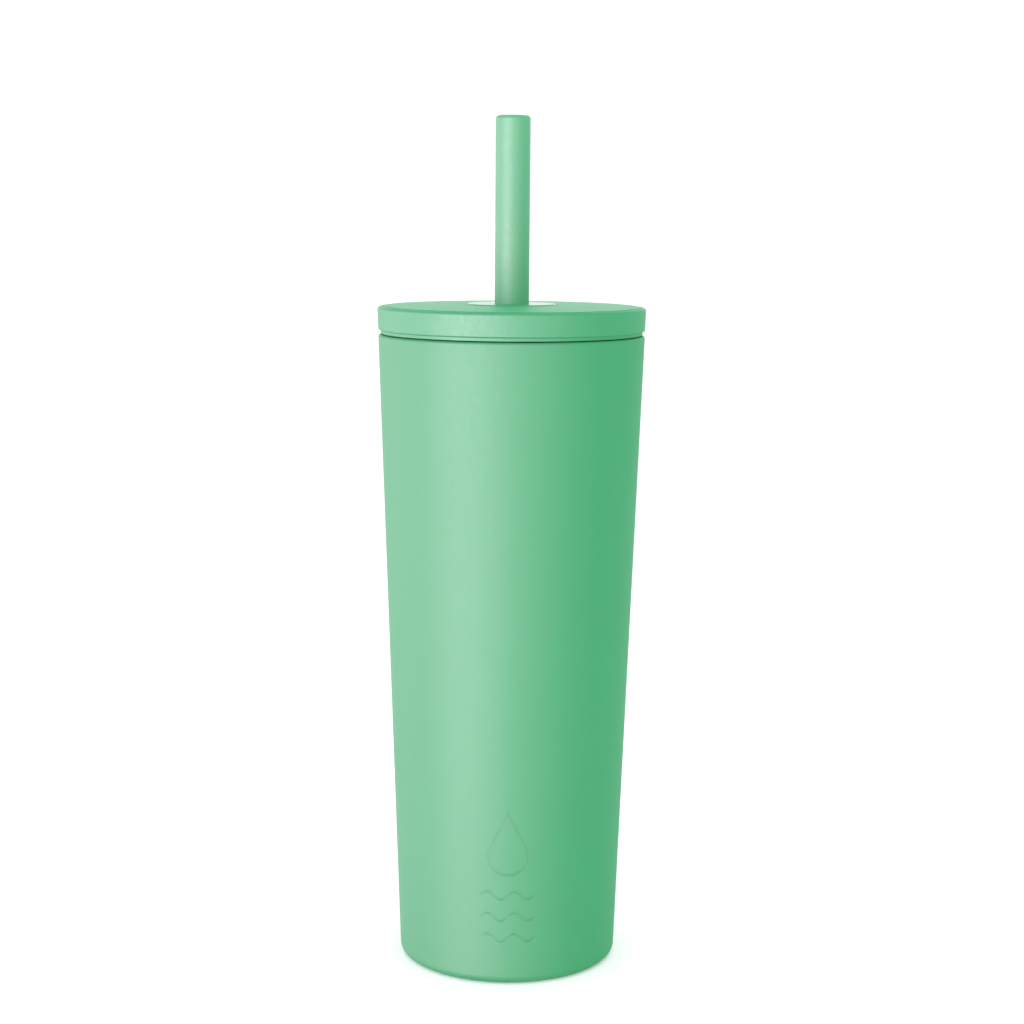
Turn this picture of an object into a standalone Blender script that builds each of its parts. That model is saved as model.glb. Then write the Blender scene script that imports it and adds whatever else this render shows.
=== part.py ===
"""Vacuum-insulated travel tumbler with a screw-in lid and a straight straw.

Every piece is turned about the cup's upright axis. The origin is the centre of the flat foot and +Z is up.
Profiles are given in millimetres, as (radius, height), and become metres when a mesh is made.
"""

import math

import bmesh
import bpy

MM = 0.001

# Driving dimensions, in millimetres
RIM_Z = 204.6  # top of the cup's rim
RIM_RADIUS = 42.7  # widest radius of the cup, just under the rim
BASE_RADIUS = 35.5  # radius of the cup where the bottom corner starts
CORNER_RADIUS = 3.0  # rounding between the wall and the foot
LID_RADIUS = 43.0
LID_TOP_Z = 213.45  # top of the lid's rounded rim
STRAW_RADIUS = 5.5
STRAW_WALL = 1.4
STRAW_TOP_Z = 273.7
STRAW_BOTTOM_Z = 13.0

STEEL = 0.5  # sheet thickness of the cup
GAP = 0.3  # clearance between separate pieces
MOUTH_RADIUS = 39.0  # inside of the threaded neck
LINER_BASE_RADIUS = 31.7
LINER_FLOOR_Z = 10.0
PLUG_RADIUS = 36.7  # wall of the threaded lid core
PLUG_BOTTOM_Z = 188.5
THREAD_LEAD = 10.0  # rise in one turn
THREAD_STARTS = 2

LARGE_STEPS = 48  # facets of a full turn
SMALL_STEPS = 24

TAPER = (RIM_RADIUS - BASE_RADIUS) / (RIM_Z - CORNER_RADIUS)
TAPER_ANGLE = math.degrees(math.atan(TAPER))


def shell_radius(z):
    """Outer radius of the cup's tapered wall."""
    return BASE_RADIUS + TAPER * (z - CORNER_RADIUS)


def liner_radius(z):
    """Inner radius of the liner's tapered wall."""
    return LINER_BASE_RADIUS + TAPER * (z - LINER_FLOOR_Z - 8.0)


def arc(centre, radius, start, end, steps):
    """Points of an arc in the profile plane; angles in degrees, 0 pointing outwards and 90 up."""
    angles = [math.radians(start + (end - start) * i / steps) for i in range(steps + 1)]
    return [(centre[0] + radius * math.cos(a), centre[1] + radius * math.sin(a)) for a in angles]


def material(name, colour, roughness, metallic=0.0):
    made = bpy.data.materials.new(name)
    made.use_nodes = True
    shader = made.node_tree.nodes["Principled BSDF"]
    shader.inputs["Base Color"].default_value = (*colour, 1.0)
    shader.inputs["Roughness"].default_value = roughness
    shader.inputs["Metallic"].default_value = metallic
    made.diffuse_color = (*colour, 1.0)
    made.roughness = roughness
    made.metallic = metallic
    return made


def new_object(name, mesh_data, look, parent=None, sharp_angle=35):
    """An object of a finished bmesh, with its faces turned outwards and its round sides smooth."""
    bmesh.ops.recalc_face_normals(mesh_data, faces=mesh_data.faces)
    mesh = bpy.data.meshes.new(name)
    mesh_data.to_mesh(mesh)
    mesh_data.free()
    mesh.shade_smooth()
    mesh.set_sharp_from_angle(angle=math.radians(sharp_angle))
    if look:
        mesh.materials.append(look)
    piece = bpy.data.objects.new(name, mesh)
    bpy.context.scene.collection.objects.link(piece)
    piece.parent = parent
    return piece


def turned(name, profile, look, parent, steps=LARGE_STEPS):
    """A solid of revolution from a closed profile. Points on the axis become a single vertex."""
    solid = bmesh.new()
    rings = []
    for radius, z in profile:
        if radius == 0:
            pole = solid.verts.new((0, 0, z * MM))
            rings.append([pole] * steps)
            continue
        turn = [math.tau * i / steps for i in range(steps)]
        rings.append([solid.verts.new((radius * MM * math.cos(a), radius * MM * math.sin(a), z * MM)) for a in turn])
    for first, second in zip(rings, rings[1:] + rings[:1]):
        for i in range(steps):
            j = (i + 1) % steps
            corners = list(dict.fromkeys([first[i], first[j], second[j], second[i]]))
            if len(corners) > 2:
                solid.faces.new(corners)
    return new_object(name, solid, look, parent)


def thread_ridge(name, root, crest, low_z, start, sweep=200.0, root_width=2.2, crest_width=1.2):
    """One start of a right-hand thread: a ridge on a helix whose ends sink into the wall it stands on.

    root lies inside the wall and crest stands proud of it; the angles are in degrees.
    """
    sections = 28
    lead_in = 4  # sections over which an end rises to full height
    sunk = root + 0.2 * (crest - root) / abs(crest - root)
    ridge = bmesh.new()
    loops = []
    for i in range(sections + 1):
        turned_by = sweep * i / sections
        angle = math.radians(start + turned_by)
        z = low_z + THREAD_LEAD * turned_by / 360.0
        height = min(1.0, i / lead_in, (sections - i) / lead_in)
        top = sunk + (crest - sunk) * height
        section = [
            (root, z - root_width / 2),
            (root, z + root_width / 2),
            (top, z + crest_width / 2),
            (top, z - crest_width / 2),
        ]
        loops.append(
            [ridge.verts.new((r * MM * math.cos(angle), r * MM * math.sin(angle), h * MM)) for r, h in section]
        )
    for first, second in zip(loops, loops[1:]):
        for k in range(4):
            m = (k + 1) % 4
            ridge.faces.new([first[k], first[m], second[m], second[k]])
    ridge.faces.new(loops[0])
    ridge.faces.new(loops[-1])
    helper = new_object(name, ridge, None)
    helper.hide_render = True
    helper.display_type = "WIRE"
    return helper


def add_thread(piece, root, crest, low_z):
    """Joins every start of a thread to a piece."""
    for start in range(THREAD_STARTS):
        ridge = thread_ridge(f"{piece.name}_ridge_{start}", root, crest, low_z, start * 360.0 / THREAD_STARTS)
        ridge.parent = piece.parent
        union = piece.modifiers.new(f"thread_{start}", "BOOLEAN")
        union.operation = "UNION"
        union.object = ridge


def outer_shell(parent, look):
    """The coated outside: rolled rim, tapered wall, round corner, flat foot and the upturned edge inside it."""
    shoulder = 0.8
    lip_edge = 41.0
    foot_edge = 23.6
    foot_turn_z = 2.1
    corner_x = shell_radius(CORNER_RADIUS) - CORNER_RADIUS
    shoulder_x = shell_radius(RIM_Z) - shoulder
    outside = arc((shoulder_x, RIM_Z - shoulder), shoulder, 90, -TAPER_ANGLE, 4)
    outside += arc((corner_x, CORNER_RADIUS), CORNER_RADIUS, -TAPER_ANGLE, -90, 5)
    outside += [(foot_edge + STEEL, 0), (foot_edge, STEEL), (foot_edge, foot_turn_z)]
    inside = [(foot_edge + STEEL, foot_turn_z), (foot_edge + STEEL, 2 * STEEL), (foot_edge + 2 * STEEL, STEEL)]
    inside += arc((corner_x, CORNER_RADIUS), CORNER_RADIUS - STEEL, -90, -TAPER_ANGLE, 4)
    inside += [(shoulder_x + 0.2, RIM_Z - STEEL - 0.1), (shoulder_x - 0.2, RIM_Z - STEEL), (lip_edge, RIM_Z - STEEL)]
    return turned("outer_shell", [(lip_edge, RIM_Z)] + outside + inside, look, parent)


def inner_liner(parent, look):
    """The steel cup inside: rolled mouth, threaded neck, tapered wall and flat floor."""
    lip_edge = 41.0 - GAP
    roll = 0.8
    neck_z = 185.7
    wall_top_z = 183.7
    floor_corner = 8.0
    corner_z = LINER_FLOOR_Z + floor_corner
    corner_x = liner_radius(corner_z) - floor_corner
    inside = [(lip_edge, RIM_Z)] + arc((MOUTH_RADIUS + roll, RIM_Z - roll), roll, 90, 180, 3)
    inside += [(MOUTH_RADIUS, neck_z), (liner_radius(wall_top_z), wall_top_z)]
    inside += arc((corner_x, corner_z), floor_corner, -TAPER_ANGLE, -90, 5) + [(0, LINER_FLOOR_Z)]
    outside = [(0, LINER_FLOOR_Z - STEEL)]
    outside += arc((corner_x, corner_z), floor_corner + STEEL, -90, -TAPER_ANGLE, 5)
    outside += [(liner_radius(wall_top_z) + STEEL, wall_top_z - 0.2), (MOUTH_RADIUS + STEEL, neck_z - 0.2)]
    outside += [(MOUTH_RADIUS + STEEL, RIM_Z - 1.0), (MOUTH_RADIUS + 1.0, RIM_Z - STEEL), (lip_edge, RIM_Z - STEEL)]
    liner = turned("inner_liner", inside + outside, look, parent)
    add_thread(liner, root=MOUTH_RADIUS + 0.2, crest=37.6, low_z=194.2)
    return liner


def outer_base(parent, look):
    """The plate that closes the vacuum space, with a raised dimple and the hole it was pumped out through."""
    plate_z = 2.4
    dimple_z = 4.3
    profile = [(0.9, dimple_z), (5.6, dimple_z), (6.4, plate_z), (27.5, plate_z), (27.5, plate_z + STEEL)]
    profile += [(6.9, plate_z + STEEL), (6.1, dimple_z + STEEL), (0.9, dimple_z + STEEL)]
    return turned("outer_base", profile, look, parent, steps=36)


def base_cover(parent, look):
    """The bare steel disc pressed into the foot; it hides the sealed pumping hole."""
    face_z = 1.0
    edge = 23.3
    profile = [(0, face_z), (edge - 0.4, face_z), (edge, face_z + 0.4), (edge, 2.05), (edge - STEEL, 2.05)]
    profile += [(edge - STEEL, face_z + STEEL), (0, face_z + STEEL)]
    return turned("base_cover", profile, look, parent)


def vacuum_seal_bead(parent, look):
    """The solder bead that plugs the pumping hole from below."""
    profile = [(0, 2.6), (3.4, 2.7), (4.2, 3.3), (4.2, 4.0), (0.6, 4.0), (0.6, 5.0), (0, 5.0)]
    return turned("vacuum_seal_bead", profile, look, parent, steps=SMALL_STEPS)


def getter_pieces(parent, steel, grey):
    """The gas-absorbing pellet and the small steel cup that holds it under the liner."""
    top_z = LINER_FLOOR_Z - STEEL - GAP
    holder = [(0, top_z), (5.0, top_z), (5.0, top_z - 2.3), (4.6, top_z - 2.3), (4.6, top_z - 0.4), (0, top_z - 0.4)]
    pellet = [(0, top_z - 0.7), (4.3, top_z - 0.7), (4.3, top_z - 2.2), (0, top_z - 2.2)]
    turned("getter_holder", holder, steel, parent, steps=SMALL_STEPS)
    turned("getter", pellet, grey, parent, steps=SMALL_STEPS)


def radiation_foil(parent, look):
    """The foil sleeve wrapped round the liner inside the vacuum."""
    low_z, high_z = 22.0, 180.7
    stand_off = STEEL + 0.4
    foil = 0.15
    profile = [(liner_radius(z) + stand_off, z) for z in (low_z, high_z)]
    profile += [(liner_radius(z) + stand_off + foil, z) for z in (high_z, low_z)]
    return turned("radiation_foil", profile, look, parent)


def lid_cover(parent, look):
    """The visible lid: a shallow dome, a fine groove, a rounded rim, and a skirt with a stepped-in lower edge."""
    hole = 8.3
    edge_round = 0.9
    skirt_low_radius = 42.72
    step_radius = 41.95
    inside_radius = 40.8
    bottom_z = RIM_Z + GAP
    top = [(hole, 213.0), (14.6, 213.0), (14.6, 214.2), (28.0, 214.05), (40.9, 213.65)]
    top += [(41.0, 213.55), (41.15, 213.1), (41.4, LID_TOP_Z)]
    side = arc((LID_RADIUS - edge_round, LID_TOP_Z - edge_round), edge_round, 90, 0, 4)
    side += [(skirt_low_radius, 206.3), (step_radius + 0.25, 205.95), (step_radius, 205.85), (step_radius, bottom_z)]
    under = [(inside_radius, bottom_z), (inside_radius, 209.2), (40.0, 210.0), (hole, 210.0)]
    return turned("lid_cover", top + side + under, look, parent)


def lid_core(parent, look):
    """The hollow plug under the lid: flange, seal seat, threaded wall, floor and the straw's guide tube."""
    guide = 6.3
    wall = 1.8
    flange_radius = 40.5
    flange_top_z = 206.9
    outside = [(flange_radius, flange_top_z), (flange_radius, RIM_Z + GAP), (PLUG_RADIUS, RIM_Z + GAP)]
    outside += [(PLUG_RADIUS, 201.3), (37.5, 201.1), (37.5, 200.6), (PLUG_RADIUS, 200.2)]
    outside += [(PLUG_RADIUS, PLUG_BOTTOM_Z + 1.0), (PLUG_RADIUS - 1.0, PLUG_BOTTOM_Z), (guide, PLUG_BOTTOM_Z)]
    inside = [(guide, 206.7), (guide + wall, 206.7), (guide + wall, PLUG_BOTTOM_Z + wall)]
    inside += [(PLUG_RADIUS - wall, PLUG_BOTTOM_Z + wall), (PLUG_RADIUS - wall, flange_top_z)]
    core = turned("lid_core", outside + inside, look, parent)
    add_thread(core, root=PLUG_RADIUS - 0.5, crest=38.2, low_z=192.4)
    return core


def lid_seal(parent, look):
    """The silicone ring with two lips that closes the mouth."""
    bore = PLUG_RADIUS + GAP
    lip = 38.6
    top_z = RIM_Z
    profile = [(bore, top_z), (38.3, top_z), (lip, top_z - 0.4), (38.0, top_z - 1.1), (lip, top_z - 1.7)]
    profile += [(38.0, top_z - 2.4), (bore, top_z - 2.9)]
    return turned("lid_seal", profile, look, parent)


def straw_grommet(parent, look):
    """The silicone bush that grips the straw: a wide flange on the lid and a barb under it."""
    bore = STRAW_RADIUS + GAP
    profile = [(bore, 214.5), (13.9, 214.5), (14.3, 214.2), (14.3, 213.3), (8.0, 213.3), (8.0, 209.7)]
    profile += [(9.6, 209.7), (9.2, 208.3), (7.4, 207.5), (bore, 207.5)]
    return turned("straw_grommet", profile, look, parent, steps=36)


def straw(parent, look):
    """A straight tube with a rounded mouth end."""
    bore = STRAW_RADIUS - STRAW_WALL
    tip_round = 1.1
    tip = arc((STRAW_RADIUS - tip_round, STRAW_TOP_Z - tip_round), tip_round, 90, 0, 4)
    profile = [(bore, STRAW_TOP_Z - 0.2)] + tip
    profile += [(STRAW_RADIUS, STRAW_BOTTOM_Z + 0.3), (STRAW_RADIUS - 0.3, STRAW_BOTTOM_Z), (bore, STRAW_BOTTOM_Z)]
    return turned("straw", profile, look, parent, steps=SMALL_STEPS)


def empty(name, parent=None):
    made = bpy.data.objects.new(name, None)
    bpy.context.scene.collection.objects.link(made)
    made.parent = parent
    return made


def build():
    for old in list(bpy.data.objects):
        bpy.data.objects.remove(old)

    coat = material("mint_powder_coat", (0.075, 0.40, 0.185), 0.55)
    plastic = material("mint_plastic", (0.085, 0.42, 0.20), 0.45)
    silicone = material("mint_silicone", (0.10, 0.45, 0.22), 0.6)
    seal_silicone = material("clear_grey_silicone", (0.62, 0.64, 0.62), 0.5)
    steel = material("brushed_steel", (0.58, 0.57, 0.55), 0.32, 1.0)
    solder = material("solder", (0.50, 0.50, 0.52), 0.4, 1.0)
    foil = material("foil", (0.85, 0.85, 0.86), 0.15, 1.0)
    pellet = material("getter_grey", (0.12, 0.12, 0.12), 0.8)

    cup = empty("cup_axis")
    outer_shell(cup, coat)
    inner_liner(cup, steel)
    outer_base(cup, steel)
    base_cover(cup, steel)
    vacuum_seal_bead(cup, solder)
    getter_pieces(cup, steel, pellet)
    radiation_foil(cup, foil)

    seal_axis = empty("seal_axis", cup)
    lid_seal(seal_axis, seal_silicone)
    lid_axis = empty("lid_axis", seal_axis)
    lid_cover(lid_axis, plastic)
    lid_core(lid_axis, plastic)
    straw_grommet(lid_axis, silicone)
    straw_axis = empty("straw_axis", lid_axis)
    straw(straw_axis, plastic)


build()
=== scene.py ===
"""Looks of the insulated travel tumbler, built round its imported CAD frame.

Every visible piece but the mark is turned about the Z axis. Profiles are in millimetres, as corners
(radius, height, rounding), and become metres when a mesh is made.
"""

import math

import bpy
import numpy as np
from mathutils import Matrix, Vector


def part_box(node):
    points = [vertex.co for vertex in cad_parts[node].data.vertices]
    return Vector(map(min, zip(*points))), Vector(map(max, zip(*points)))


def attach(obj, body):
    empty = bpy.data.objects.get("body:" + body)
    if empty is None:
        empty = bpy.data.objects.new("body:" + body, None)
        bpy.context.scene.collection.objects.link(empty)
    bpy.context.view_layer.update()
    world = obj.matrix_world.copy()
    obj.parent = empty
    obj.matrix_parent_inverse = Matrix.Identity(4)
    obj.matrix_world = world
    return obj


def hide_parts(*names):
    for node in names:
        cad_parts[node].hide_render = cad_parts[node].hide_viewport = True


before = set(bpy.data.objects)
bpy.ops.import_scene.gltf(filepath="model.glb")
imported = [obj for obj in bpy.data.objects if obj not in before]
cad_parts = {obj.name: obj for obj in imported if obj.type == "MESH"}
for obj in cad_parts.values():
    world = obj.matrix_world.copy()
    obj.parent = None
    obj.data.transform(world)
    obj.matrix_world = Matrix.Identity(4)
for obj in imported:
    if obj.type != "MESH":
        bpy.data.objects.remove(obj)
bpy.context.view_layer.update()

MM = 0.001


def top_of(node):
    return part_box(node)[1].z / MM


def bottom_of(node):
    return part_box(node)[0].z / MM


def radius_of(node):
    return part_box(node)[1].x / MM


# Places taken from the frame, in millimetres
RIM_Z = top_of("outer_shell")
LID_RADIUS = radius_of("lid_cover")
LID_BOTTOM_Z = bottom_of("lid_cover")
FLANGE_TOP_Z = top_of("lid_core")
FLANGE_RADIUS = radius_of("lid_core")
PLUG_BOTTOM_Z = bottom_of("lid_core")
GROMMET_TOP_Z = top_of("straw_grommet")
GROMMET_RADIUS = radius_of("straw_grommet")
SEAL_TOP_Z = top_of("lid_seal")
SEAL_BOTTOM_Z = bottom_of("lid_seal")
SEAL_RADIUS = radius_of("lid_seal")
COVER_Z = bottom_of("base_cover")
COVER_RADIUS = radius_of("base_cover")
STRAW_RADIUS = radius_of("straw")
STRAW_TOP_Z = top_of("straw")
STRAW_BOTTOM_Z = bottom_of("straw")

# The rest of the shape, in millimetres
RIM_RADIUS = 42.7
BASE_RADIUS = 35.5
CORNER_RADIUS = 3.0
TAPER = (RIM_RADIUS - BASE_RADIUS) / (RIM_Z - CORNER_RADIUS)
STEEL = 0.5
MOUTH_RADIUS = 39.0
LINER_BASE_RADIUS = 31.7
LINER_FLOOR_Z = 10.0
LINER_CORNER = 8.0
LID_RIM_Z = GROMMET_TOP_Z - 1.05
PLUG_RADIUS = 36.7
THREAD_LEAD = 10.0
THREAD_SWEEP = math.radians(200)
THREAD_STARTS = 2

STEPS = 256  # facets of a full turn on the large pieces
SMALL_STEPS = 128


def shell_radius(z):
    return BASE_RADIUS + TAPER * (z - CORNER_RADIUS)


def liner_radius(z):
    return LINER_BASE_RADIUS + TAPER * (z - LINER_FLOOR_Z - LINER_CORNER)


# ---------------------------------------------------------------- mesh code


def rounded(corners):
    """A closed outline from corners (radius, height, rounding), with an arc at each rounded one.

    A point just outside each arc keeps smooth shading flat on the straight stretches.
    """
    support, least_room = 0.12, 0.05
    least_steps, most_steps, steps_per_mm = 4, 28, 2.5
    places = [np.array(c[:2], float) for c in corners]
    count = len(corners)
    aims, reaches, halves = [], [], []
    for i, here in enumerate(places):
        before, after = places[i - 1] - here, places[(i + 1) % count] - here
        aims.append((before / np.linalg.norm(before), after / np.linalg.norm(after)))
        half = math.acos(float(np.clip(aims[i][0] @ aims[i][1], -1, 1))) / 2
        halves.append(half)
        reaches.append(corners[i][2] / math.tan(half) if corners[i][2] else 0.0)
    outline = []
    for i, here in enumerate(places):
        rounding = corners[i][2]
        if not rounding:
            outline.append(tuple(here))
            continue
        k = (i + 1) % count
        room_before = np.linalg.norm(places[i - 1] - here) - reaches[i - 1] - reaches[i]
        room_after = np.linalg.norm(places[k] - here) - reaches[k] - reaches[i]
        if min(room_before, room_after) < -1e-9:
            raise ValueError(f"the rounding at {corners[i]} doesn't fit")
        to_before, to_after = aims[i]
        middle = (to_before + to_after) / np.linalg.norm(to_before + to_after)
        centre = here + middle * rounding / math.sin(halves[i])
        spoke = here + to_before * reaches[i] - centre
        last = here + to_after * reaches[i] - centre
        turn = math.atan2(spoke[0] * last[1] - spoke[1] * last[0], float(spoke @ last))
        if room_before > least_room:
            outline.append(tuple(here + to_before * (reaches[i] + min(support, room_before / 3))))
        steps = int(min(most_steps, least_steps + steps_per_mm * rounding))
        for n in range(steps + 1):
            c, s = math.cos(turn * n / steps), math.sin(turn * n / steps)
            across = float(centre[0] + spoke[0] * c - spoke[1] * s)
            up = float(centre[1] + spoke[0] * s + spoke[1] * c)
            outline.append((across, up))
        if room_after > least_room:
            outline.append(tuple(here + to_after * (reaches[i] + min(support, room_after / 3))))
    return outline


def divided(outline, low_z, high_z):
    """The outline with its upright edges between two heights cut into short ones."""
    step = 0.35
    made = []
    for here, after in zip(outline, outline[1:] + outline[:1]):
        made.append(here)
        inside = min(here[1], after[1]) < high_z and max(here[1], after[1]) > low_z
        parts = int(abs(after[1] - here[1]) / step)
        if inside and parts > 1:
            share = np.arange(1, parts)[:, None] / parts
            made += [tuple(p) for p in np.array(here) + (np.array(after) - np.array(here)) * share]
    return made


def new_piece(name, points, faces):
    mesh = bpy.data.meshes.new(name)
    mesh.from_pydata([tuple(p) for p in points], [], faces)
    mesh.shade_smooth()
    mesh.update()
    piece = bpy.data.objects.new(name, mesh)
    bpy.context.scene.collection.objects.link(piece)
    return piece


def turned(name, outline, steps=STEPS, push=None):
    """A solid of revolution. push(radius, z, angle) returns how far each point is moved outwards."""
    flat = np.array(outline)
    area = np.sum(flat[:, 0] * np.roll(flat[:, 1], -1) - np.roll(flat[:, 0], -1) * flat[:, 1])
    if area < 0:
        flat = flat[::-1]
    angle = np.linspace(0, math.tau, steps, endpoint=False)
    z = np.repeat(flat[:, 1:2], steps, axis=1)
    radius = np.repeat(flat[:, 0:1], steps, axis=1)
    if push:
        radius = radius + push(radius, z, angle[None, :])
    grid = np.stack([radius * np.cos(angle), radius * np.sin(angle), z], axis=2) * MM
    points, rows = [], []
    for i, row in enumerate(grid):
        on_axis = flat[i, 0] < 1e-6
        rows.append([len(points)] * steps if on_axis else list(range(len(points), len(points) + steps)))
        points.extend([row[0]] if on_axis else row)
    faces = []
    for first, second in zip(rows, rows[1:] + rows[:1]):
        for j in range(steps):
            k = (j + 1) % steps
            face = list(dict.fromkeys([first[j], first[k], second[k], second[j]]))
            if len(face) > 2:
                faces.append(face)
    return new_piece(name, points, faces)


def smooth_step(x):
    x = np.clip(x, 0.0, 1.0)
    return x * x * (3 - 2 * x)


def thread(z, angle, low_z, height):
    """Height of the right-hand thread at a point: rounded ridges on a helix, fading out at their ends."""
    half_width, reach = 0.85, 1.45  # a ridge ends this many half widths from its crest
    fade = 0.35  # radians over which a ridge's end rises
    ridges = np.zeros(z.shape)
    for start in range(THREAD_STARTS):
        turned_by = (angle - math.tau * start / THREAD_STARTS) % math.tau
        crest_z = low_z + THREAD_LEAD * turned_by / math.tau
        across = smooth_step(reach - np.abs(z - crest_z) / half_width)
        ends = smooth_step(turned_by / fade) * smooth_step((THREAD_SWEEP - turned_by) / fade)
        ridges = np.maximum(ridges, across * ends)
    return ridges * height


# ---------------------------------------------------------------- materials

COAT_COLOUR = (0.020, 0.322, 0.121)
MARK_COLOUR = (0.017, 0.292, 0.106)
LID_COLOUR = (0.024, 0.330, 0.130)
STRAW_COLOUR = (0.085, 0.405, 0.195)
STEEL_COLOUR = (0.60, 0.59, 0.57)
NOISE_LOW, NOISE_HIGH = 0.3, 0.7  # noise keeps between these, near its middle


class Look:
    """A Principled material with its pattern built from noise in the piece's own space."""

    def __init__(self, name, colour, roughness, metallic=0.0, specular=0.5):
        self.material = bpy.data.materials.new(name)
        self.material.use_nodes = True
        self.nodes = self.material.node_tree.nodes
        self.links = self.material.node_tree.links
        self.shader = self.nodes["Principled BSDF"]
        self.colour = colour
        self.roughness = roughness
        self.set("Metallic", metallic)
        self.set("Specular IOR Level", specular)
        self.place = self.nodes.new("ShaderNodeTexCoord").outputs["Object"]
        self.material.diffuse_color = (*colour, 1.0)

    def set(self, socket, value):
        self.shader.inputs[socket].default_value = value

    def noise(self, scale, detail, place=None):
        made = self.nodes.new("ShaderNodeTexNoise")
        made.inputs["Scale"].default_value = scale
        made.inputs["Detail"].default_value = detail
        self.links.new(place or self.place, made.inputs["Vector"])
        return made.outputs["Fac"]

    def spread(self, value, low, high):
        """Noise made into a range."""
        made = self.nodes.new("ShaderNodeMapRange")
        made.inputs["From Min"].default_value = NOISE_LOW
        made.inputs["From Max"].default_value = NOISE_HIGH
        made.inputs["To Min"].default_value = low
        made.inputs["To Max"].default_value = high
        self.links.new(value, made.inputs["Value"])
        return made.outputs["Result"]

    def mottle(self, value, amount):
        """Base colour that drifts a little darker and lighter."""
        mix = self.nodes.new("ShaderNodeMix")
        mix.data_type = "RGBA"
        share, dark, light = mix.inputs[0], mix.inputs[6], mix.inputs[7]  # the sockets of a colour mix
        dark.default_value = (*[c * (1 - amount) for c in self.colour], 1.0)
        light.default_value = (*[min(1.0, c * (1 + amount)) for c in self.colour], 1.0)
        self.links.new(self.spread(value, 0, 1), share)
        self.links.new(mix.outputs[2], self.shader.inputs["Base Color"])

    def rough(self, value, amount):
        drift = self.spread(value, self.roughness - amount, self.roughness + amount)
        self.links.new(drift, self.shader.inputs["Roughness"])

    def bump(self, value, depth, strength):
        """Relief of about this depth, in metres."""
        made = self.nodes.new("ShaderNodeBump")
        made.inputs["Strength"].default_value = strength
        made.inputs["Distance"].default_value = depth
        self.links.new(value, made.inputs["Height"])
        self.links.new(made.outputs["Normal"], self.shader.inputs["Normal"])

    def rings(self):
        """A place that depends only on distance from the Z axis and height, for marks that run round."""
        apart = self.nodes.new("ShaderNodeSeparateXYZ")
        self.links.new(self.place, apart.inputs["Vector"])
        flat = self.nodes.new("ShaderNodeCombineXYZ")
        self.links.new(apart.outputs["X"], flat.inputs["X"])
        self.links.new(apart.outputs["Y"], flat.inputs["Y"])
        length = self.nodes.new("ShaderNodeVectorMath")
        length.operation = "LENGTH"
        self.links.new(flat.outputs["Vector"], length.inputs[0])
        joined = self.nodes.new("ShaderNodeCombineXYZ")
        self.links.new(length.outputs["Value"], joined.inputs["X"])
        self.links.new(apart.outputs["Z"], joined.inputs["Z"])
        return joined.outputs["Vector"]


def powder_coat():
    look = Look("powder_coat_mint", COAT_COLOUR, 0.64, specular=0.45)
    look.mottle(look.noise(scale=60, detail=3), amount=0.012)
    look.rough(look.noise(scale=900, detail=2), amount=0.02)
    look.bump(look.noise(scale=2600, detail=3), depth=0.00005, strength=0.18)
    return look.material


def coat_mark():
    look = Look("powder_coat_mark", MARK_COLOUR, 0.64, specular=0.45)
    look.mottle(look.noise(scale=800, detail=2), amount=0.03)
    look.rough(look.noise(scale=900, detail=2), amount=0.04)
    look.bump(look.noise(scale=3500, detail=2), depth=0.00004, strength=0.3)
    return look.material


def moulded_plastic(name, colour, roughness, specular):
    look = Look(name, colour, roughness, specular=specular)
    look.mottle(look.noise(scale=45, detail=2), amount=0.015)
    look.rough(look.noise(scale=700, detail=2), amount=0.03)
    look.bump(look.noise(scale=3200, detail=3), depth=0.00004, strength=0.25)
    return look.material


def silicone(name, colour, roughness, scatter):
    look = Look(name, colour, roughness, specular=0.5)
    look.set("Subsurface Weight", scatter)
    look.set("Subsurface Radius", (0.6, 1.0, 0.7))
    look.set("Subsurface Scale", 0.0008)
    look.mottle(look.noise(scale=120, detail=2), amount=0.02)
    look.rough(look.noise(scale=1500, detail=2), amount=0.05)
    look.bump(look.noise(scale=2500, detail=2), depth=0.00003, strength=0.2)
    return look.material


def brushed_steel(name, roughness):
    """Steel with fine marks that run round the axis, as turning and polishing leave them."""
    look = Look(name, STEEL_COLOUR, roughness, metallic=1.0)
    around = look.rings()
    look.mottle(look.noise(scale=900, detail=3, place=around), amount=0.04)
    look.rough(look.noise(scale=2500, detail=2, place=around), amount=0.07)
    look.bump(look.noise(scale=5000, detail=2, place=around), depth=0.00003, strength=0.35)
    return look.material


def dull_metal(name, colour, roughness, metallic=1.0):
    look = Look(name, colour, roughness, metallic=metallic)
    look.mottle(look.noise(scale=400, detail=3), amount=0.08)
    look.rough(look.noise(scale=1200, detail=2), amount=0.08)
    look.bump(look.noise(scale=1500, detail=3), depth=0.00005, strength=0.4)
    return look.material


# ---------------------------------------------------------------- pieces of the cup


def coated_shell():
    """Coated outside of the cup: rim shoulder, wall, bottom corner, foot and upturned edge."""
    lip_edge, foot_edge, foot_turn_z = 41.0, 23.6, 2.1
    inner_z = RIM_Z - STEEL
    corners = [
        (lip_edge, RIM_Z, 0.15),
        (shell_radius(RIM_Z), RIM_Z, 0.8),
        (shell_radius(0), 0, CORNER_RADIUS),
        (foot_edge, 0, 0.45),
        (foot_edge, foot_turn_z, 0.1),
        (foot_edge + STEEL, foot_turn_z, 0.1),
        (foot_edge + STEEL, STEEL, 0.3),
        (shell_radius(0) - STEEL, STEEL, CORNER_RADIUS - STEEL),
        (shell_radius(inner_z) - STEEL, inner_z, 0.4),
        (lip_edge, inner_z, 0.1),
    ]
    return turned("cup_shell", rounded(corners))


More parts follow.
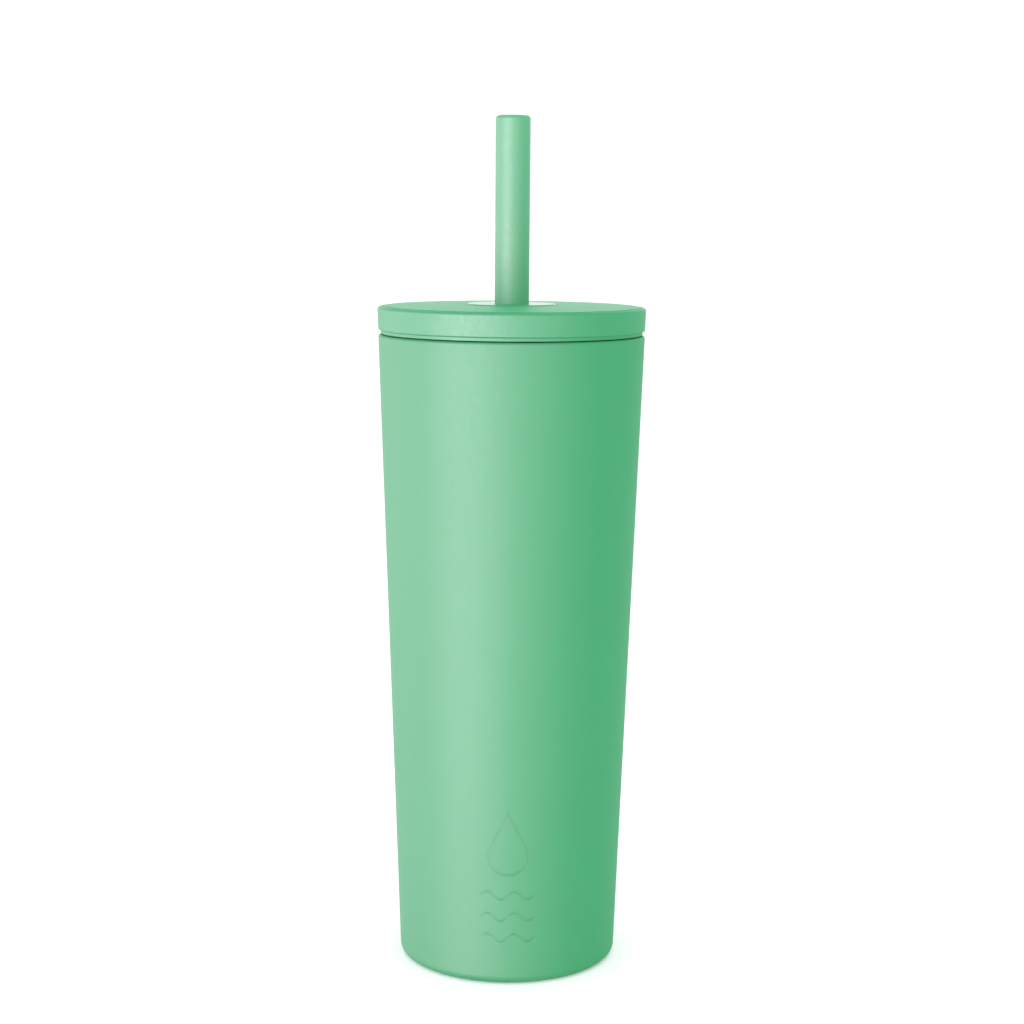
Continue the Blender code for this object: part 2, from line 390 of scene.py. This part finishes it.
def steel_liner():
    """Steel inside of the cup, with the thread rolled into its neck."""
    lip_edge, neck_z, wall_z = 40.97, 185.7, 183.7
    thread_z, thread_height = 194.2, 1.4
    top = liner_radius(wall_z)
    corners = [
        (lip_edge, RIM_Z, 0.12),
        (MOUTH_RADIUS, RIM_Z, 0.8),
        (MOUTH_RADIUS, neck_z, 1.0),
        (top, wall_z, 1.0),
        (liner_radius(LINER_FLOOR_Z), LINER_FLOOR_Z, LINER_CORNER),
        (0, LINER_FLOOR_Z, 0),
        (0, LINER_FLOOR_Z - STEEL, 0),
        (liner_radius(LINER_FLOOR_Z - STEEL) + STEEL, LINER_FLOOR_Z - STEEL, LINER_CORNER + STEEL),
        (top + STEEL, wall_z - 0.2, 1.0),
        (MOUTH_RADIUS + STEEL, neck_z - 0.2, 1.0),
        (MOUTH_RADIUS + STEEL, RIM_Z - STEEL, 0.4),
        (lip_edge, RIM_Z - STEEL, 0.12),
    ]
    outline = divided(rounded(corners), low_z=188.7, high_z=202.7)

    def rolled_in(radius, z, angle):
        return -thread(z, angle, thread_z, thread_height) * (radius > MOUTH_RADIUS - 0.5)

    return turned("cup_liner", outline, push=rolled_in)


def foot_disc():
    """Steel disc in the foot, with a pressed ring that stiffens it."""
    face, back, edge = COVER_Z, COVER_Z + STEEL, COVER_RADIUS - STEEL
    ring_depth, edge_height = 0.3, 1.05
    corners = [
        (0, face, 0),
        (15.0, face, 0.3),
        (15.4, face + ring_depth, 0.3),
        (17.4, face + ring_depth, 0.3),
        (17.8, face, 0.3),
        (COVER_RADIUS, face, 0.35),
        (COVER_RADIUS, face + edge_height, 0.1),
        (edge, face + edge_height, 0.1),
        (edge, back, 0.2),
        (0, back, 0),
    ]
    return turned("foot_disc", rounded(corners))


def ribbon(name, lines, half_width, place):
    """Thin raised strips along flat lines of (across, up) points in millimetres, laid on a surface.

    place(across, up, lift) gives the point in space. A line whose ends meet is a closed loop.
    """
    lift, sunk, bevel = 0.035, -0.12, 0.06
    section = [(-half_width, sunk), (-half_width, 0.0), (-half_width + bevel, lift)]
    section += [(half_width - bevel, lift), (half_width, 0.0), (half_width, sunk)]
    points, faces = [], []
    for line in lines:
        closed = math.dist(line[0], line[-1]) < 1e-6
        path = np.array(line[:-1] if closed else line, float)
        count = len(path)
        ahead = np.roll(path, -1, axis=0) - path
        behind = path - np.roll(path, 1, axis=0)
        if not closed:
            ahead[-1], behind[0] = behind[-1], ahead[0]
        ahead /= np.linalg.norm(ahead, axis=1)[:, None]
        behind /= np.linalg.norm(behind, axis=1)[:, None]
        along = ahead + behind
        along /= np.linalg.norm(along, axis=1)[:, None]
        stretch = 1 / np.sum(along * ahead, axis=1)
        side = np.stack([-along[:, 1], along[:, 0]], axis=1) * stretch[:, None]
        first = len(points)
        for spot, out in zip(path, side):
            points += [place(*(spot + out * across), height) for across, height in section]
        size = len(section)
        for i in range(count if closed else count - 1):
            a, b = first + i * size, first + (i + 1) % count * size
            faces += [[a + k, a + (k + 1) % size, b + (k + 1) % size, b + k] for k in range(size)]
        if not closed:
            last = first + (count - 1) * size
            faces += [[first + k for k in range(size)][::-1], [last + k for k in range(size)]]
    piece = new_piece(name, points, faces)
    piece.data.set_sharp_from_angle(angle=math.radians(30))
    return piece


def on_wall(across, up, lift):
    """A point on the front of the cup's wall, at a distance across it and a height, in metres."""
    radius = shell_radius(up)
    angle = across / radius - math.pi / 2
    out = radius + lift
    return (out * math.cos(angle) * MM, out * math.sin(angle) * MM, up * MM)


def mark():
    """A plain mark low on the front: the outline of a drop over three waves."""
    drop_z, drop_radius, tip_z = 43.0, 6.2, 57.0
    wave_length, wave_height, wave_zs = 8.5, 1.3, (30.0, 23.0, 16.0)
    half_width, steps, side_steps = 0.45, 60, 10
    half = math.acos(drop_radius / (tip_z - drop_z))
    start, sweep = math.pi / 2 + half, math.tau - 2 * half
    drop = []
    for i in range(steps + 1):
        turn = start + sweep * i / steps
        drop.append((drop_radius * math.cos(turn), drop_z + drop_radius * math.sin(turn)))
    (left_x, left_z), (right_x, right_z) = drop[0], drop[-1]
    right, left = [], []
    for i in range(1, side_steps):
        right.append((right_x * (1 - i / side_steps), right_z + (tip_z - right_z) * i / side_steps))
        left.append((left_x * i / side_steps, tip_z + (left_z - tip_z) * i / side_steps))
    lines = [drop + right + [(0.0, tip_z)] + left + [drop[0]]]
    across = np.linspace(-wave_length, wave_length, steps + 1)
    for up in wave_zs:
        lines.append([(x, up + wave_height * math.sin(math.tau * x / wave_length)) for x in across])
    return ribbon("cup_mark", lines, half_width, on_wall)


# ---------------------------------------------------------------- pieces of the lid, and the straw


def lid_cover():
    """Visible part of the lid: shallow dome, fine groove, rounded rim, and a skirt that steps in low down."""
    hole, recess, inside, step = 8.3, 14.6, 40.8, 41.95
    recess_z, under_z, groove_depth = GROMMET_TOP_Z - 1.5, 210.0, 0.35
    corners = [
        (hole, under_z, 0.2),
        (hole, recess_z, 0.2),
        (recess, recess_z, 0.1),
        (recess, recess_z + 1.2, 0.12),
        (28.0, recess_z + 1.05, 300),
        (40.85, recess_z + 0.65, 0.12),
        (41.15, LID_RIM_Z - groove_depth, 0.12),
        (41.45, LID_RIM_Z, 0.12),
        (LID_RADIUS, LID_RIM_Z, 0.9),
        (42.72, 206.2, 0.3),
        (step, 205.9, 0.15),
        (step, LID_BOTTOM_Z, 0.12),
        (inside, LID_BOTTOM_Z, 0.12),
        (inside, under_z, 0.8),
    ]
    return turned("lid_top", rounded(corners))


def lid_plug():
    """Hollow plug under the lid: flange, seal seat, threaded wall, recessed floor and the straw's guide."""
    guide, wall, low = 6.3, 1.8, PLUG_BOTTOM_Z
    flange_z, guide_top_z, seat_radius = LID_BOTTOM_Z, 206.7, 37.5
    thread_z, thread_height = 192.4, 1.5
    corners = [
        (FLANGE_RADIUS, FLANGE_TOP_Z, 0.2),
        (FLANGE_RADIUS, flange_z, 0.2),
        (PLUG_RADIUS, flange_z, 0.15),
        (PLUG_RADIUS, 201.35, 0.08),
        (seat_radius, 201.1, 0.12),
        (seat_radius, 200.5, 0.12),
        (PLUG_RADIUS, 200.1, 0.15),
        (PLUG_RADIUS, low, 0.9),
        (31.0, low, 0.3),
        (30.3, low + 0.5, 0.3),
        (11.7, low + 0.5, 0.3),
        (11.0, low, 0.3),
        (guide, low, 0.4),
        (guide, guide_top_z, 0.3),
        (guide + wall, guide_top_z, 0.3),
        (guide + wall, low + wall + 0.5, 1.0),
        (PLUG_RADIUS - wall, low + wall + 0.5, 1.5),
        (PLUG_RADIUS - wall, FLANGE_TOP_Z, 0.2),
    ]
    outline = divided(rounded(corners), low_z=189.7, high_z=199.7)

    def ridges(radius, z, angle):
        return thread(z, angle, thread_z, thread_height) * (radius > PLUG_RADIUS - 0.2)

    return turned("lid_plug", outline, push=ridges)


def seal_ring():
    """Silicone ring with two soft lips."""
    bore = PLUG_RADIUS + 0.08
    top, low = SEAL_TOP_Z - 0.05, SEAL_BOTTOM_Z
    corners = [
        (bore, top, 0.1),
        (38.3, top, 0.2),
        (SEAL_RADIUS, top - 0.55, 0.22),
        (37.95, top - 1.05, 0.2),
        (SEAL_RADIUS, top - 1.7, 0.22),
        (37.9, top - 2.25, 0.2),
        (37.6, low, 0.15),
        (bore, low, 0.1),
    ]
    return turned("lid_seal_ring", rounded(corners))


def grommet():
    """Silicone bush round the straw: a wide flange on the lid, a sleeve and a barb under it."""
    bore, sleeve, top = STRAW_RADIUS + 0.03, 8.0, GROMMET_TOP_Z
    flange_z, low_z = top - 1.2, 207.5
    corners = [
        (bore, top, 0.12),
        (GROMMET_RADIUS, top, 0.4),
        (GROMMET_RADIUS, flange_z, 0.15),
        (sleeve, flange_z, 0.15),
        (sleeve, 209.7, 0.1),
        (9.6, 209.7, 0.2),
        (9.2, 208.3, 0.3),
        (7.4, low_z, 0.3),
        (bore, low_z, 0.15),
    ]
    return turned("straw_bush", rounded(corners), SMALL_STEPS)


def straw_tube():
    """Thick-walled straight straw with a soft round mouth end."""
    wall = 1.4
    bore = STRAW_RADIUS - wall
    corners = [
        (STRAW_RADIUS, STRAW_TOP_Z, 1.15),
        (bore, STRAW_TOP_Z, 0.2),
        (bore, STRAW_BOTTOM_Z, 0.2),
        (STRAW_RADIUS, STRAW_BOTTOM_Z, 0.3),
    ]
    return turned("straw_tube", rounded(corners), SMALL_STEPS)


# ---------------------------------------------------------------- putting it together


def dress():
    """Makes every visible piece, gives it its material, and hangs it on its body."""
    plastic = moulded_plastic("lid_plastic_mint", LID_COLOUR, 0.60, 0.45)
    liner_steel = brushed_steel("steel_liner", 0.27)
    foot_steel = brushed_steel("steel_foot", 0.33)
    seal_rubber = silicone("silicone_grey", (0.60, 0.63, 0.60), 0.45, 0.3)
    bush_rubber = silicone("silicone_mint", LID_COLOUR, 0.38, 0.1)
    straw_plastic = moulded_plastic("straw_plastic_mint", STRAW_COLOUR, 0.58, 0.45)
    rows = [
        (coated_shell(), "cup", "outer_shell", "powder_coat", powder_coat()),
        (steel_liner(), "cup", "inner_liner", "steel", liner_steel),
        (foot_disc(), "cup", "base_cover", "steel", foot_steel),
        (mark(), "cup", None, "powder_coat", coat_mark()),
        (lid_cover(), "lid", "lid_cover", "lid_plastic", plastic),
        (lid_plug(), "lid", "lid_core", "lid_plastic", plastic),
        (seal_ring(), "seal", "lid_seal", "seal_silicone", seal_rubber),
        (grommet(), "lid", "straw_grommet", "mint_silicone", bush_rubber),
        (straw_tube(), "straw", "straw", "straw_plastic", straw_plastic),
    ]
    for piece, body, node, slot, look in rows:
        piece.data.materials.append(look)
        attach(piece, body)
        if node:
            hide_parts(node)
    hidden = {
        "outer_base": brushed_steel("steel_base_plate", 0.35),
        "getter_holder": brushed_steel("steel_getter_cup", 0.35),
        "vacuum_seal_bead": dull_metal("solder_bead", (0.50, 0.50, 0.52), 0.42),
        "radiation_foil": dull_metal("bright_foil", (0.85, 0.85, 0.86), 0.2),
        "getter": dull_metal("getter_pellet", (0.12, 0.12, 0.12), 0.75, metallic=0.3),
    }
    for node, look in hidden.items():
        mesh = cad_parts[node].data
        mesh.materials.clear()
        mesh.materials.append(look)


def floor():
    mesh = bpy.data.meshes.new("floor")
    far, z = 30.0, -2e-5  # a hair under the foot
    corners = [(-far, -far, z), (far, -far, z), (far, far, z), (-far, far, z)]
    mesh.from_pydata(corners, [], [[0, 1, 2, 3]])
    plane = bpy.data.objects.new("floor", mesh)
    bpy.context.scene.collection.objects.link(plane)
    paint = bpy.data.materials.new("pale_floor")
    paint.use_nodes = True
    shader = paint.node_tree.nodes["Principled BSDF"]
    shader.inputs["Base Color"].default_value = (0.93, 0.93, 0.93, 1.0)
    shader.inputs["Roughness"].default_value = 0.9
    shader.inputs["Specular IOR Level"].default_value = 0.1
    shader.inputs["Emission Color"].default_value = (1.0, 1.0, 1.0, 1.0)
    shader.inputs["Emission Strength"].default_value = 0.2
    mesh.materials.append(paint)
    plane.visible_shadow = False  # the softboxes reach below it, as through a glass table


PANEL_COLOUR = (1.0, 0.88, 1.0)


def soft_panel(name, azimuth, width, power, low_z=-0.40, high_z=0.45):
    """An upright softbox seen only in gloss, for the broad sheen. The white world gives the even fill."""
    distance = 1.2
    turn = math.radians(azimuth)  # from the front, towards +X
    data = bpy.data.lights.new(name, "AREA")
    data.shape = "RECTANGLE"
    data.size = width
    data.size_y = high_z - low_z
    data.energy = power
    data.color = PANEL_COLOUR
    lamp = bpy.data.objects.new(name, data)
    bpy.context.scene.collection.objects.link(lamp)
    lamp.location = (distance * math.sin(turn), -distance * math.cos(turn), (low_z + high_z) / 2)
    lamp.rotation_euler = (math.pi / 2, 0, turn)
    lamp.visible_diffuse = False
    lamp.visible_camera = False


def top_panel():
    """A soft light overhead for the top of the lid, which adds no gloss."""
    size, height, power = 1.0, 1.4, 3.6
    data = bpy.data.lights.new("top", "AREA")
    data.shape = "SQUARE"
    data.size = size
    data.energy = power
    lamp = bpy.data.objects.new("top", data)
    bpy.context.scene.collection.objects.link(lamp)
    lamp.location = (0, 0, height)
    lamp.visible_glossy = False
    lamp.visible_camera = False


def studio():
    world = bpy.data.worlds.new("studio")
    world.use_nodes = True
    backdrop = world.node_tree.nodes["Background"]
    backdrop.inputs["Color"].default_value = (1.0, 1.0, 1.0, 1.0)
    backdrop.inputs["Strength"].default_value = 1.05
    bpy.context.scene.world = world
    soft_panel("key", azimuth=-50, width=0.4, power=48.0)
    soft_panel("side", azimuth=-105, width=1.1, power=18.0)
    soft_panel("front", azimuth=-20, width=0.35, power=36.0)
    soft_panel("right", azimuth=25, width=0.6, power=13.0)
    soft_panel("back", azimuth=180, width=1.6, power=5.4, low_z=0.24, high_z=0.90)
    top_panel()
    bpy.context.scene.view_settings.view_transform = "Standard"


def camera():
    """Long lens a little above the lid, tipped down and rolled a little."""
    lens, place = 72.43, (0.00057, -0.6622, 0.2442)
    tip_down, roll = math.radians(8.349), 0.0079
    data = bpy.data.cameras.new("camera")
    data.lens = lens
    data.sensor_width = 36.0
    data.clip_start = 0.05
    data.clip_end = 100.0
    view = bpy.data.objects.new("camera", data)
    bpy.context.scene.collection.objects.link(view)
    tip = math.pi / 2 - tip_down
    turned_to = Matrix.Rotation(tip, 4, "X") @ Matrix.Rotation(roll, 4, "Z")
    view.matrix_world = Matrix.Translation(place) @ turned_to
    bpy.context.scene.camera = view


dress()
floor()
studio()
camera()
bpy.context.view_layer.update()
